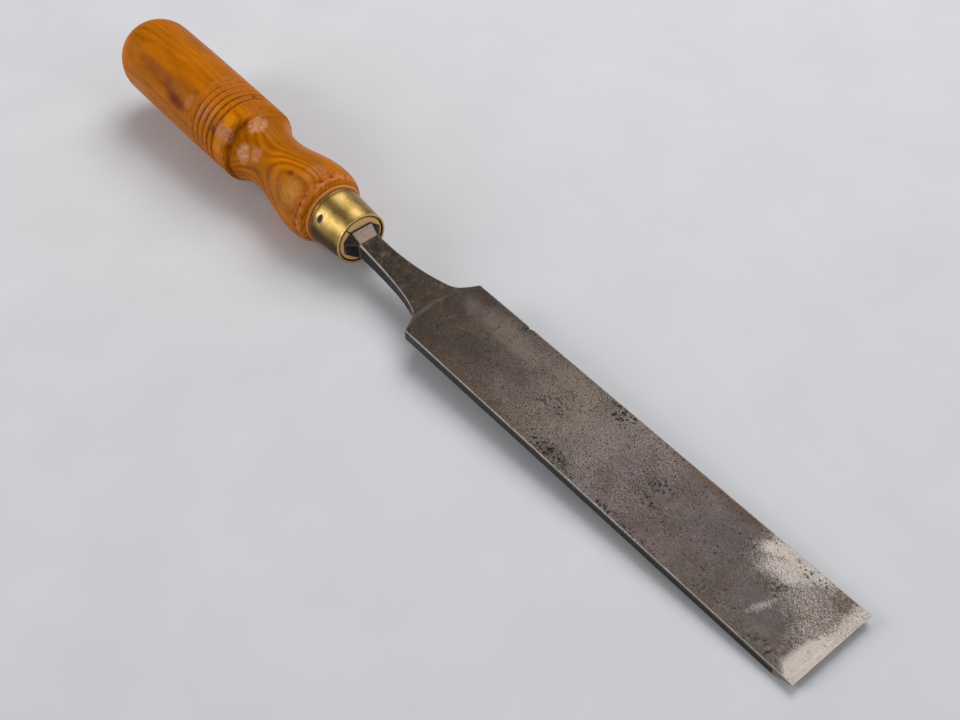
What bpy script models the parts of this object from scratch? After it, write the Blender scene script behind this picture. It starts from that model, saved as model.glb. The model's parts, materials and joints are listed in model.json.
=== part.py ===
"""Tanged bench chisel at rest on a bench: one steel forging, a turned wooden handle and a brass ferrule.

The forging is laid out in the blade's own frame: x runs from the shoulders to the cutting edge, and z = 0 is
the flat back. The handle, the ferrule, the bolster and the tang share the handle's axis, which rises a
little from the back towards the butt. The whole tool then leans so that the handle's belly and the heel of
the bevel both touch the bench at z = 0, with the flat back upwards.
"""
from math import atan2, cos, pi, radians, sin, tan

import bmesh
import bpy
from mathutils import Matrix, Vector
from mathutils.geometry import interpolate_bezier

MM = 0.001
FIT_GAP = 0.3 * MM

# Blade and neck
BLADE_WIDTH = 31.75 * MM
BLADE_LENGTH = 163.5 * MM
SHOULDER_THICKNESS = 4.3 * MM
HEEL_THICKNESS = 3.1 * MM
EDGE_THICKNESS = 0.08 * MM
BEVEL_ANGLE = radians(25)
ARRIS = 0.2 * MM
NECK_LENGTH = 40.8 * MM
NECK_START_HALF_WIDTH = 4.1 * MM
NECK_END_HALF_WIDTH = 8.9 * MM
NECK_END_SETBACK = 4.8 * MM
NECK_RISE = 1.4 * MM
NECK_START_DEPTH = 5.4 * MM
NECK_STEPS = 10
SHOULDER_STEPS = 9

# Bolster and tang, on the handle's axis
HANDLE_RISE = radians(1.1)
AXIS_DROP = 2.6 * MM
BOLSTER_BACK = -45.2 * MM
BOLSTER_BAND = 0.7 * MM
BOLSTER_HALF_WIDTH = 7.4 * MM
BOLSTER_HALF_HEIGHT = 5.6 * MM
BOLSTER_CORNER_WIDTH = 3.3 * MM
BOLSTER_CORNER_HEIGHT = 3.1 * MM
TANG_LENGTH = 56.0 * MM
TANG_ROOT_HALF = 3.4 * MM
TANG_END_HALF = 1.4 * MM
BORE_RELIEF = 1.5 * MM

# Handle, as stations along its axis (the butt is the far end) and radii
BUTT_END = -195.0 * MM
BUTT_DOME = 15.0 * MM
BUTT_RADIUS = 15.6 * MM
BARREL_BULGE = 0.15 * MM
SHOULDER_RADIUS = 15.3 * MM
BARREL_END = -110.2 * MM
RING_COUNT = 6
RING_FIRST = -134.2 * MM
RING_PITCH = 3.2 * MM
RING_DEPTH = 0.5 * MM
RING_HALF_WIDTH = 0.8 * MM
SHOULDER_GROOVE = -108.7 * MM
SHOULDER_GROOVE_RADIUS = 13.7 * MM
COVE_TOP = -107.8 * MM
COVE_TOP_RADIUS = 13.8 * MM
COVE_SWEEP = 2.2
COVE_WAIST = -97.0 * MM
COVE_WAIST_RADIUS = 11.0 * MM
BULB_CREST = -71.0 * MM
BULB_RADIUS = 14.6 * MM
BULB_END = -64.2 * MM
BULB_END_RADIUS = 13.3 * MM
WOOD_STEP = -61.3 * MM
NOSE_END = -45.5 * MM
NOSE_CHAMFER = 0.5 * MM
HANDLE_SEGMENTS = 48

# Ferrule
FERRULE_FRONT = -45.3 * MM
FERRULE_REAR_RADIUS = 10.9 * MM
FERRULE_FRONT_RADIUS = 9.9 * MM
FERRULE_WALL = 0.7 * MM
LIP_RADIUS = 10.15 * MM
LIP_LENGTH = 0.9 * MM

HANDLE_AXIS = Matrix.Translation((0, 0, -AXIS_DROP)) @ Matrix.Rotation(HANDLE_RISE, 4, "Y")


def clear_scene():
    for item in list(bpy.data.objects):
        bpy.data.objects.remove(item, do_unlink=True)


def make_material(name, color, roughness, metallic):
    material = bpy.data.materials.new(name)
    material.use_nodes = True
    shader = material.node_tree.nodes["Principled BSDF"]
    shader.inputs["Base Color"].default_value = (*color, 1.0)
    shader.inputs["Roughness"].default_value = roughness
    shader.inputs["Metallic"].default_value = metallic
    return material


def make_object(name, bm, material, parent):
    """Give a closed bmesh its outward normals and add it to the scene under the tool's frame."""
    bmesh.ops.recalc_face_normals(bm, faces=bm.faces)
    mesh = bpy.data.meshes.new(name)
    bm.to_mesh(mesh)
    bm.free()
    mesh.materials.append(material)
    mesh.shade_smooth()
    mesh.set_sharp_from_angle(angle=radians(30))
    item = bpy.data.objects.new(name, mesh)
    bpy.context.collection.objects.link(item)
    item.parent = parent
    return item


def ease(start, end, t):
    """Cosine step from start to end, level at both ends."""
    return start + (end - start) * (1 - cos(pi * t)) / 2


# ---------------------------------------------------------------- forging: blade, neck, bolster and tang

def section(x, half_width, top, bottom, corner_width, corner_height):
    """Eight corners of a rectangle with cut corners, square to the x axis."""
    flat = half_width - corner_width
    low = bottom + corner_height
    high = top - corner_height
    right = [(flat, top), (half_width, high), (half_width, low), (flat, bottom)]
    left = [(-y, z) for y, z in reversed(right)]
    return [Vector((x, y, z)) for y, z in right + left]


def tang_sections():
    """The square tang, tapering into the handle, then its root inside the bolster's back face."""
    tip = section(BOLSTER_BACK - TANG_LENGTH, TANG_END_HALF, TANG_END_HALF, -TANG_END_HALF, ARRIS, ARRIS)
    root = section(BOLSTER_BACK, TANG_ROOT_HALF, TANG_ROOT_HALF, -TANG_ROOT_HALF, ARRIS, ARRIS)
    return [tip, root]


def bolster_sections():
    """The bolster's octagonal back face and the short straight band in front of it."""
    rings = []
    for x in (BOLSTER_BACK, BOLSTER_BACK + BOLSTER_BAND):
        rings.append(section(x, BOLSTER_HALF_WIDTH, BOLSTER_HALF_HEIGHT, -BOLSTER_HALF_HEIGHT,
                             BOLSTER_CORNER_WIDTH, BOLSTER_CORNER_HEIGHT))
    return rings


def neck_outline():
    """(x, half width) from the bolster along the neck, through the fillet and out to the shoulder's corner."""
    start = Vector((-NECK_LENGTH, NECK_START_HALF_WIDTH, 0))
    turn = Vector((-NECK_END_SETBACK, NECK_END_HALF_WIDTH, 0))
    corner = Vector((0, BLADE_WIDTH / 2, 0))
    slope = Vector((3.0 * MM, 1.8 * MM, 0))
    neck = interpolate_bezier(start, start + Vector((NECK_LENGTH / 2, 0, 0)), turn - slope, turn, NECK_STEPS)
    flare = interpolate_bezier(turn, turn + slope / 2, corner - Vector((1.2 * MM, 2.6 * MM, 0)), corner,
                               SHOULDER_STEPS)
    return [(point.x, point.y) for point in neck + flare[1:]]


def neck_sections():
    """The neck's back comes down from the bolster until it is flush with the blade's flat back."""
    rings = []
    for x, half_width in neck_outline():
        t = 1 + x / NECK_LENGTH
        top = NECK_RISE * max(0.0, 1 - 2 * t) ** 2
        bottom = -ease(NECK_START_DEPTH, SHOULDER_THICKNESS, t)
        corner = ARRIS + (1 - t) ** 4 * 0.5 * MM
        rings.append(section(x, half_width, top, bottom, corner, corner))
    return rings


def heel_place():
    return BLADE_LENGTH - (HEEL_THICKNESS - EDGE_THICKNESS) / tan(BEVEL_ANGLE)


def blade_sections():
    """The blade thins from the shoulders to the bevel's heel, then the bevel runs up to the edge."""
    half = BLADE_WIDTH / 2
    fine = EDGE_THICKNESS / 4
    heel = section(heel_place(), half, 0, -HEEL_THICKNESS, ARRIS, ARRIS)
    edge = section(BLADE_LENGTH, half, 0, -EDGE_THICKNESS, fine, fine)
    return [heel, edge]


def make_forging(material, parent):
    on_axis = [[HANDLE_AXIS @ point for point in ring] for ring in tang_sections() + bolster_sections()]
    rings = on_axis + neck_sections() + blade_sections()
    bm = bmesh.new()
    loops = []
    for ring in rings:
        verts = [bm.verts.new(point) for point in ring]
        loops.append([bm.edges.new((a, b)) for a, b in zip(verts, verts[1:] + verts[:1])])
    for behind, ahead in zip(loops, loops[1:]):
        bmesh.ops.bridge_loops(bm, edges=behind + ahead)
    for end in (loops[0], loops[-1]):
        bmesh.ops.contextual_create(bm, geom=end)
    return make_object("blade", bm, material, parent)


# ---------------------------------------------------------------- turned pieces

def turn_solid(outline, segments):
    """Spin a closed or axis-to-axis outline of (x, radius) points about the x axis."""
    bm = bmesh.new()
    verts = [bm.verts.new((x, 0, radius)) for x, radius in outline]
    edges = [bm.edges.new(pair) for pair in zip(verts, verts[1:])]
    if outline[0][1] > 0:
        edges.append(bm.edges.new((verts[-1], verts[0])))
    bmesh.ops.spin(bm, geom=verts + edges, cent=(0, 0, 0), axis=(1, 0, 0), angle=2 * pi, steps=segments,
                   use_merge=True)
    bmesh.ops.remove_doubles(bm, verts=bm.verts, dist=0.001 * MM)
    return bm


def barrel_radius(x):
    t = (x - BUTT_END - BUTT_DOME) / (BARREL_END - BUTT_END - BUTT_DOME)
    return BUTT_RADIUS + (SHOULDER_RADIUS - BUTT_RADIUS) * t + BARREL_BULGE * sin(pi * t)


def butt_outline():
    steps = 9
    points = []
    for step in range(steps):
        angle = pi / 2 * step / steps
        points.append((BUTT_END + BUTT_DOME * (1 - cos(angle)), BUTT_RADIUS * sin(angle)))
    return points


def barrel_outline():
    """The long barrel, with its band of turned rings and the arris at its end."""
    points = [(x, barrel_radius(x)) for x in (BUTT_END + BUTT_DOME, -165 * MM, -150 * MM)]
    for ring in range(RING_COUNT):
        centre = RING_FIRST + ring * RING_PITCH
        for offset, depth in ((-RING_HALF_WIDTH, 0), (0, RING_DEPTH), (RING_HALF_WIDTH, 0)):
            points.append((centre + offset, barrel_radius(centre + offset) - depth))
    points.append((BARREL_END, SHOULDER_RADIUS))
    points.append((SHOULDER_GROOVE, SHOULDER_GROOVE_RADIUS))
    return points


def cove_and_bulb_outline():
    """The finger cove, the swelling behind the ferrule and its rounded end."""
    points = []
    steps = 6
    for step in range(steps):
        t = step / steps
        rise = (COVE_TOP_RADIUS - COVE_WAIST_RADIUS) * (1 - t) ** COVE_SWEEP
        points.append((COVE_TOP + (COVE_WAIST - COVE_TOP) * t, COVE_WAIST_RADIUS + rise))
    for step in range(steps):
        t = step / steps
        points.append((COVE_WAIST + (BULB_CREST - COVE_WAIST) * t, ease(COVE_WAIST_RADIUS, BULB_RADIUS, t)))
    points.append((BULB_CREST, BULB_RADIUS))
    points.append(((BULB_CREST + BULB_END) / 2, (BULB_RADIUS + BULB_END_RADIUS) / 2 + 0.3 * MM))
    points.append((BULB_END, BULB_END_RADIUS))
    points.append((WOOD_STEP - 0.8 * MM, FERRULE_REAR_RADIUS + 0.9 * MM))
    points.append((WOOD_STEP, FERRULE_REAR_RADIUS + 0.1 * MM))
    return points


def nose_radius(x):
    """Radius of the turned nose inside the ferrule, a fit's gap below the ferrule's bore."""
    return ferrule_radius(x) - FERRULE_WALL - FIT_GAP


def nose_outline():
    return [(WOOD_STEP, nose_radius(WOOD_STEP)),
            (NOSE_END - NOSE_CHAMFER, nose_radius(NOSE_END - NOSE_CHAMFER)),
            (NOSE_END, nose_radius(NOSE_END) - NOSE_CHAMFER),
            (NOSE_END, 0)]


def handle_outline():
    return butt_outline() + barrel_outline() + cove_and_bulb_outline() + nose_outline()


def ferrule_radius(x):
    t = (x - WOOD_STEP) / (FERRULE_FRONT - WOOD_STEP)
    return FERRULE_REAR_RADIUS + (FERRULE_FRONT_RADIUS - FERRULE_REAR_RADIUS) * t


def ferrule_outline():
    """A thin tapered tube with a small rolled lip at its open end."""
    rear = WOOD_STEP + FIT_GAP
    lip = FERRULE_FRONT - LIP_LENGTH
    return [(rear, ferrule_radius(rear)), (lip, ferrule_radius(lip)),
            (lip + LIP_LENGTH / 3, LIP_RADIUS), (FERRULE_FRONT - LIP_LENGTH / 4, LIP_RADIUS),
            (FERRULE_FRONT, LIP_RADIUS - LIP_LENGTH / 4),
            (FERRULE_FRONT, ferrule_radius(FERRULE_FRONT) - FERRULE_WALL),
            (rear, ferrule_radius(rear) - FERRULE_WALL)]


def make_bore_cutter(parent):
    """The tapered square hole that the tang is driven into, a fit's gap larger all round."""
    bm = bmesh.new()
    growth = (TANG_ROOT_HALF - TANG_END_HALF) / TANG_LENGTH
    deep = TANG_LENGTH + BORE_RELIEF
    out = 2 * MM
    ends = []
    for x, half in ((BOLSTER_BACK - deep, TANG_ROOT_HALF - growth * deep + FIT_GAP),
                    (BOLSTER_BACK + out, TANG_ROOT_HALF + growth * out + FIT_GAP)):
        corners = [(half, half), (half, -half), (-half, -half), (-half, half)]
        verts = [bm.verts.new((x, y, z)) for y, z in corners]
        ends.append([bm.edges.new((a, b)) for a, b in zip(verts, verts[1:] + verts[:1])])
    bmesh.ops.bridge_loops(bm, edges=ends[0] + ends[1])
    for end in ends:
        bmesh.ops.contextual_create(bm, geom=end)
    cutter = make_object("bore_cutter", bm, None, parent)
    cutter.matrix_local = HANDLE_AXIS
    cutter.hide_render = True
    cutter.display_type = "WIRE"
    return cutter


def make_handle(material, parent):
    handle = make_object("handle", turn_solid(handle_outline(), HANDLE_SEGMENTS), material, parent)
    handle.matrix_local = HANDLE_AXIS
    bore = handle.modifiers.new("tang_bore", "BOOLEAN")
    bore.operation = "DIFFERENCE"
    bore.object = make_bore_cutter(parent)
    return handle


def make_ferrule(material, parent):
    ferrule = make_object("ferrule", turn_solid(ferrule_outline(), HANDLE_SEGMENTS), material, parent)
    ferrule.matrix_local = HANDLE_AXIS
    return ferrule


# ---------------------------------------------------------------- the tool at rest on the bench

def rest_placement():
    """Lean the tool onto its two supports and centre its box over the origin, with its lowest point at 0."""
    belly = [HANDLE_AXIS @ Vector((x, 0, -radius)) for x, radius in handle_outline()]
    heel = Vector((heel_place(), 0, -HEEL_THICKNESS))
    lean = max(atan2(heel.z - point.z, heel.x - point.x) for point in belly)
    leaning = Matrix.Rotation(lean, 4, "Y")
    tip = leaning @ Vector((BLADE_LENGTH, 0, 0))
    dome = [leaning @ HANDLE_AXIS @ Vector((x, 0, side * radius))
            for x, radius in butt_outline() for side in (-1, 1)]
    middle = (tip.x + min(point.x for point in dome)) / 2
    floor = (leaning @ heel).z
    return Matrix.Translation((-middle, 0, -floor)) @ leaning


def main():
    clear_scene()
    tool = bpy.data.objects.new("tool_frame", None)
    bpy.context.collection.objects.link(tool)
    tool.matrix_world = rest_placement()
    make_forging(make_material("forged_steel", (0.16, 0.14, 0.125), 0.42, 1.0), tool)
    make_handle(make_material("varnished_ash", (0.48, 0.17, 0.02), 0.35, 0.0), tool)
    make_ferrule(make_material("aged_brass", (0.62, 0.45, 0.16), 0.32, 1.0), tool)


main()
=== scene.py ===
import json
from math import atan2, cos, degrees, exp, hypot, pi, radians, sin, tan
from random import Random
from types import SimpleNamespace

import bmesh
import bpy
from mathutils import Matrix, Vector, noise
from mathutils.geometry import interpolate_bezier
from mathutils.kdtree import KDTree


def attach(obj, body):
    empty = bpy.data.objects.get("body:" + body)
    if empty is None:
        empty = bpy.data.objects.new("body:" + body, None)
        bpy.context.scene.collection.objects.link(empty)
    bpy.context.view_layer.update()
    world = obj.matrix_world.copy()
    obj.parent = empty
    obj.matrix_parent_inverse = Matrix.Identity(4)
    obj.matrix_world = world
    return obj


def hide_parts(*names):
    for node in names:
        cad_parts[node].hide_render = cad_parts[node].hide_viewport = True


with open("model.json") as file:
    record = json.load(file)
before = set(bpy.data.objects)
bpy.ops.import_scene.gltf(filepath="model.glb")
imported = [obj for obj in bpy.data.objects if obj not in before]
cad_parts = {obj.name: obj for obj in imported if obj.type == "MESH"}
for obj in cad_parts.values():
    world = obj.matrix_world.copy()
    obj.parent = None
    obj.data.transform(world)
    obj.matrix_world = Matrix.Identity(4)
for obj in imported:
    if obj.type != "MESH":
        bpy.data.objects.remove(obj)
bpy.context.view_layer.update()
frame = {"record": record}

# ================================================================ the forging
# One bar of cast steel: a long flat blade ground true on its back, a waisted neck, an octagonal bolster
# and a square tang. It is hammered to shape, hardened, ground and bevelled. The steel has gone brown and
# pitted with age, and only the honing of its last owner has left bright metal at the edge.
# Sizes are in millimetres in the blade's frame: x runs from the shoulders to the edge, y to the right as seen
# from the edge, and z = 0 is the back.

MM = 0.001
BLADE_WIDTH = 31.75
BLADE_LENGTH = 163.5
SHOULDER_THICKNESS = 4.3
HEEL_THICKNESS = 3.1
EDGE_THICKNESS = 0.08
BEVEL_ANGLE = radians(25)
BEVEL_HEEL = BLADE_LENGTH - (HEEL_THICKNESS - EDGE_THICKNESS) / tan(BEVEL_ANGLE)
ARRIS = 0.2
NECK_LENGTH = 40.8
NECK_START_HALF_WIDTH = 4.1
NECK_END_HALF_WIDTH = 8.9
NECK_END_SETBACK = 4.8
NECK_RISE = 1.4
NECK_START_DEPTH = 5.4
HANDLE_RISE = radians(1.1)
AXIS_DROP = 2.6
BOLSTER_BACK = -45.2
BOLSTER_BAND = 0.7
BOLSTER_HALF_WIDTH = 7.4
BOLSTER_HALF_HEIGHT = 5.6
BOLSTER_CORNER_WIDTH = 3.3
BOLSTER_CORNER_HEIGHT = 3.1
TANG_LENGTH = 56.0
TANG_ROOT_HALF = 3.4
TANG_END_HALF = 1.4
NICK_AT = 25.6
CORNER_POINTS = 6
BACK_POINTS = 74
SIDE_POINTS = 5
BELLY_POINTS = 30
BLADE_CUTS = 380
BEVEL_CUTS = 15
BOLSTER_CUTS = 10

back_mount = next(mount for mount in frame["record"]["mounts"] if mount["name"] == "flat_back")
BACK_MOUNT_AHEAD = 80
TOOL = (Matrix.Translation(back_mount["pos_m"])
        @ Vector((0, 0, 1)).rotation_difference(Vector(back_mount["axis"])).to_matrix().to_4x4()
        @ Matrix.Scale(MM, 4)
        @ Matrix.Translation((-BACK_MOUNT_AHEAD, 0, 0)))
HANDLE_AXIS = TOOL @ Matrix.Translation((0, 0, -AXIS_DROP)) @ Matrix.Rotation(HANDLE_RISE, 4, "Y")


def ease(start, end, t):
    """Cosine step from start to end, level at both ends."""
    return start + (end - start) * (1 - cos(pi * t)) / 2


def corner_points(flat, half_width, low, high, chamfered):
    """The points round one corner of a section, from its flat to its side: a chamfer or a worn round."""
    wide, tall = half_width - flat, high - low
    if chamfered:
        parts = (-0.03, 0.03, 0.09, 0.91, 0.97, 1.03)
        return [(flat + wide * min(t, 1), high - tall * max(t, 0)) for t in parts]
    angles = [pi / 2 * step / (CORNER_POINTS - 1) for step in range(CORNER_POINTS)]
    return [(flat + wide * sin(angle), low + tall * cos(angle)) for angle in angles]


def between(start, end, count):
    """Evenly spaced points strictly between two points of a section."""
    return [(start[0] + (end[0] - start[0]) * (i + 1) / (count + 1),
             start[1] + (end[1] - start[1]) * (i + 1) / (count + 1)) for i in range(count)]


def section(x, half_width, top, bottom, corner_width, corner_height, chamfered=False):
    """A rectangle with eased or chamfered corners, square to the x axis."""
    flat = half_width - corner_width
    upper = corner_points(flat, half_width, top - corner_height, top, chamfered)
    lower = [(y, top + bottom - z) for y, z in reversed(upper)]
    right = upper + between(upper[-1], lower[0], SIDE_POINTS) + lower
    left = [(-y, z) for y, z in reversed(right)]
    belly = between(right[-1], left[0], BELLY_POINTS)
    back = between(left[-1], right[0], BACK_POINTS)
    return [Vector((x, y, z)) for y, z in right + belly + left + back]


def neck_outline():
    """(x, half width) from the bolster along the neck, through the fillet and out to the shoulder."""
    start = Vector((-NECK_LENGTH, NECK_START_HALF_WIDTH, 0))
    bend = Vector((-NECK_END_SETBACK, NECK_END_HALF_WIDTH, 0))
    corner = Vector((0, BLADE_WIDTH / 2, 0))
    slope = Vector((3.0, 1.8, 0))
    neck = interpolate_bezier(start, start + Vector((NECK_LENGTH / 2, 0, 0)), bend - slope, bend, 60)
    flare = interpolate_bezier(bend, bend + slope / 2, corner - Vector((1.2, 2.6, 0)), corner, 24)
    return [(point.x, point.y) for point in neck + flare[1:]]


def forging_rings():
    """Sections from the tang's tip to the cutting edge."""
    rise = TOOL.inverted() @ HANDLE_AXIS
    tip = section(BOLSTER_BACK - TANG_LENGTH, TANG_END_HALF, TANG_END_HALF, -TANG_END_HALF, ARRIS, ARRIS)
    root = section(BOLSTER_BACK, TANG_ROOT_HALF, TANG_ROOT_HALF, -TANG_ROOT_HALF, ARRIS, ARRIS)
    on_axis = [tip, root]
    for x in (BOLSTER_BACK, BOLSTER_BACK + BOLSTER_BAND):
        on_axis.append(section(x, BOLSTER_HALF_WIDTH, BOLSTER_HALF_HEIGHT, -BOLSTER_HALF_HEIGHT,
                               BOLSTER_CORNER_WIDTH, BOLSTER_CORNER_HEIGHT, chamfered=True))
    rings = [[rise @ point for point in ring] for ring in on_axis]
    for x, half_width in neck_outline():
        t = 1 + x / NECK_LENGTH
        top = NECK_RISE * max(0.0, 1 - 2 * t) ** 2
        corner = ARRIS + (1 - t) ** 4 * 0.5
        bottom = -ease(NECK_START_DEPTH, SHOULDER_THICKNESS, t)
        rings.append(section(x, half_width, top, bottom, corner, corner))
    fine = EDGE_THICKNESS / 4
    rings.append(section(BEVEL_HEEL, BLADE_WIDTH / 2, 0, -HEEL_THICKNESS, ARRIS, ARRIS))
    rings.append(section(BLADE_LENGTH, BLADE_WIDTH / 2, 0, -EDGE_THICKNESS, fine, fine))
    return rings


def loft(rings):
    """Skin a row of sections, close both ends and return the solid with each section's edges."""
    bm = bmesh.new()
    loops = []
    for ring in rings:
        verts = [bm.verts.new(point) for point in ring]
        loops.append([bm.edges.new(pair) for pair in zip(verts, verts[1:] + verts[:1])])
    for behind, ahead in zip(loops, loops[1:]):
        bmesh.ops.bridge_loops(bm, edges=behind + ahead)
    for end in (loops[0], loops[-1]):
        bmesh.ops.contextual_create(bm, geom=end)
    bmesh.ops.recalc_face_normals(bm, faces=bm.faces)
    return bm, loops


def cut_lengthwise(bm, start, end, cuts):
    """Slice the stretch between two sections into short even lengths."""
    spans = [edge for edge in bm.edges
             if min(v.co.x for v in edge.verts) < start + 0.5 < end - 0.5 < max(v.co.x for v in edge.verts)]
    bmesh.ops.subdivide_edges(bm, edges=spans, cuts=cuts)


def mark_arrises(bm, angle, reach):
    """Store on each vertex how near it lies to a corner: 1 on the corner, fading over the reach."""
    layer = bm.verts.layers.float.new("arris")
    corners = [vert for vert in bm.verts
               if any(edge.is_manifold and edge.calc_face_angle() > angle for edge in vert.link_edges)]
    tree = KDTree(len(corners))
    for index, vert in enumerate(corners):
        tree.insert(vert.co, index)
    tree.balance()
    for vert in bm.verts:
        vert[layer] = exp(-(tree.find(vert.co)[2] / reach) ** 2)


def make_piece(name, bm, place, material, node):
    """Put a finished mesh where its CAD node stands, in that node's stead."""
    bmesh.ops.transform(bm, matrix=place, verts=bm.verts)
    mesh = bpy.data.meshes.new(name)
    bm.to_mesh(mesh)
    bm.free()
    mesh.materials.append(material)
    mesh.shade_smooth()
    mesh.set_sharp_from_angle(angle=radians(40))
    piece = bpy.data.objects.new(name, mesh)
    bpy.context.scene.collection.objects.link(piece)
    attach(piece, "root")
    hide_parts(node)
    return piece


forging, stations = loft(forging_rings())
bmesh.ops.bevel(forging, geom=stations[3] + stations[4], offset=0.15, offset_type="OFFSET", segments=2,
                profile=0.5, affect="EDGES", clamp_overlap=False, material=-1)
cut_lengthwise(forging, BOLSTER_BACK + BOLSTER_BAND, -NECK_LENGTH, BOLSTER_CUTS)
cut_lengthwise(forging, 0, BEVEL_HEEL, BLADE_CUTS)
cut_lengthwise(forging, BEVEL_HEEL, BLADE_LENGTH, BEVEL_CUTS)
mark_arrises(forging, radians(12), 0.35)

# Rust pits deep enough to feel, as (x, y, spread, how many, deepest)
PIT_FIELDS = ((26, 15.0, 1.6, 5, 0.25), (71, 13.2, 4.0, 16, 0.22), (54, -0.5, 4.0, 8, 0.14),
              (99, 3, 4.0, 8, 0.14), (100, -3.2, 6.0, 9, 0.16), (110, 1.5, 2.5, 4, 0.12),
              (66, -13, 6.0, 9, 0.16), (92, -15, 3.0, 5, 0.2), (105, -15, 3.5, 6, 0.2),
              (145, 14.0, 4.0, 7, 0.2), (141, 3, 2.2, 6, 0.16), (151, -13.2, 2.5, 7, 0.16),
              (24, 2, 15, 20, 0.1), (60, 0, 25, 40, 0.1), (40, -8, 20, 25, 0.1), (90, 6, 25, 25, 0.08))
PIT_REACH = 1.6
RIDGE_AT = -3.8
RIDGE_HEIGHT = 0.06
RIDGE_BOW = 0.0125


def scatter(spread, count, seed):
    """Chance offsets inside a circle, the same on every run."""
    chance = Random(seed)
    offsets = []
    for _ in range(count):
        turned = chance.uniform(0, 2 * pi)
        reach = spread * chance.random() ** 0.7
        offsets.append((reach * cos(turned), reach * sin(turned), chance.random()))
    return offsets


pits = []
for seed, (x, y, spread, count, deepest) in enumerate(PIT_FIELDS):
    for ahead, aside, chance in scatter(spread, count, seed):
        place = Vector((x + ahead * 1.4, y + aside, 0))
        pits.append((place, 0.4 + 0.7 * chance, deepest * (0.4 + 0.6 * chance)))
pit_tree = KDTree(len(pits))
for index, pit in enumerate(pits):
    pit_tree.insert(pit[0], index)
pit_tree.balance()

def pitted(x, y):
    """How deep rust has eaten into the back at one point."""
    depth = 0.04 * (0.5 + 0.5 * noise.noise(Vector((x / 14, y / 9, 2))))
    for _, index, distance in pit_tree.find_range(Vector((x, y, 0)), PIT_REACH):
        width = pits[index][1] * (1 + 0.35 * noise.noise(Vector((x * 1.7, y * 1.7, 9))))
        depth += pits[index][2] * exp(-(distance / width) ** 2 * 2.2)
    return depth


for vert in forging.verts:
    x, y, z = vert.co
    if z > -0.35 and -NECK_LENGTH < x < BLADE_LENGTH - 2:
        vert.co.z -= pitted(x, y)
    if -NECK_LENGTH < x < 1 and z > -1:
        crest = (x - RIDGE_AT - RIDGE_BOW * y ** 2) / 0.7
        vert.co.z += RIDGE_HEIGHT * exp(-crest ** 2) * exp(-(y / 8.5) ** 6)
    if BOLSTER_BACK < x < -4:
        vert.co += vert.normal * 0.07 * noise.noise(Vector((x / 3, y / 3, z / 3)))
    nick = exp(-((x - NICK_AT) / 0.9) ** 2 - ((y - BLADE_WIDTH / 2) / 0.5) ** 2)
    vert.co.y -= 0.35 * nick


class Finish:
    """Mixes one finish from nodes. A value is a number, a tuple, or the socket of an earlier node."""

    def __init__(self, tree):
        self.tree = tree

    def fill(self, socket, value):
        if isinstance(value, bpy.types.NodeSocket):
            self.tree.links.new(value, socket)
        else:
            socket.default_value = value

    def add(self, kind, values=(), **settings):
        node = self.tree.nodes.new(kind)
        for name, setting in settings.items():
            setattr(node, name, setting)
        for key, value in dict(values).items():
            self.fill(node.inputs[key], value)
        return node

    def math(self, operation, *values):
        return self.add("ShaderNodeMath", enumerate(values), operation=operation).outputs[0]

    def times(self, first, second):
        return self.math("MULTIPLY", first, second)

    def plus(self, first, second):
        return self.math("ADD", first, second)

    def less(self, first, second):
        return self.math("SUBTRACT", first, second)

    def most(self, first, second):
        return self.math("MAXIMUM", first, second)

    def scaled(self, value, factor, added):
        return self.math("MULTIPLY_ADD", value, factor, added)

    def rest_of(self, value):
        return self.math("SUBTRACT", 1.0, value)

    def size_of(self, value):
        return self.math("ABSOLUTE", value)

    def vector(self, operation, *values):
        node = self.add("ShaderNodeVectorMath", operation=operation)
        for index, value in enumerate(values):
            self.fill(node.inputs["Scale" if operation == "SCALE" and index else index], value)
        return node.outputs["Value" if operation in ("LENGTH", "DOT_PRODUCT") else "Vector"]

    def split(self, vector):
        return self.add("ShaderNodeSeparateXYZ", {0: vector}).outputs

    def join(self, x, y, z):
        return self.add("ShaderNodeCombineXYZ", {0: x, 1: y, 2: z}).outputs[0]

    def fade(self, value, low, high, from_value=0.0, to_value=1.0):
        """Smooth step: from_value below low, to_value above high."""
        values = {0: value, 1: low, 2: high, 3: from_value, 4: to_value}
        return self.add("ShaderNodeMapRange", values, interpolation_type="SMOOTHSTEP").outputs[0]

    def cloud(self, place, size, detail=3.0, roughness=0.55):
        """Fractal noise whose coarsest lumps are about the given size across."""
        scale = self.math("DIVIDE", 1.0, size) if isinstance(size, bpy.types.NodeSocket) else 1 / size
        values = {"Vector": place, "Scale": scale, "Detail": detail, "Roughness": roughness}
        return self.add("ShaderNodeTexNoise", values).outputs[0]

    def over(self, below, above, mask, strength=None):
        """Lay one colour over another through a mask, at the given strength at most."""
        if strength is not None:
            mask = self.times(mask, strength)
        return self.add("ShaderNodeMix", {0: mask, 6: below, 7: above}, data_type="RGBA").outputs[2]

    def shade(self, colour, amount):
        """Multiply a colour by a number that varies over the surface."""
        return self.vector("SCALE", colour, amount)

    def ramp(self, value, low, high, stops):
        """Colours laid out along a value, as (value, colour) pairs."""
        share = self.add("ShaderNodeMapRange", {0: value, 1: low, 2: high}).outputs[0]
        node = self.add("ShaderNodeValToRGB", {0: share})
        elements = node.color_ramp.elements
        while len(elements) < len(stops):
            elements.new(0.5)
        for element, (at, colour) in zip(elements, stops):
            element.position = (at - low) / (high - low)
            element.color = colour
        return node.outputs[0]

    def effect(self, group, **values):
        node = self.add("ShaderNodeGroup", node_tree=group)
        for name, value in values.items():
            self.fill(node.inputs[name], value)
        return node.outputs[0]

    def dress(self, values):
        """Give the material's shader its values."""
        for name, value in values.items():
            self.fill(self.tree.nodes["Principled BSDF"].inputs[name], value)


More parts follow.
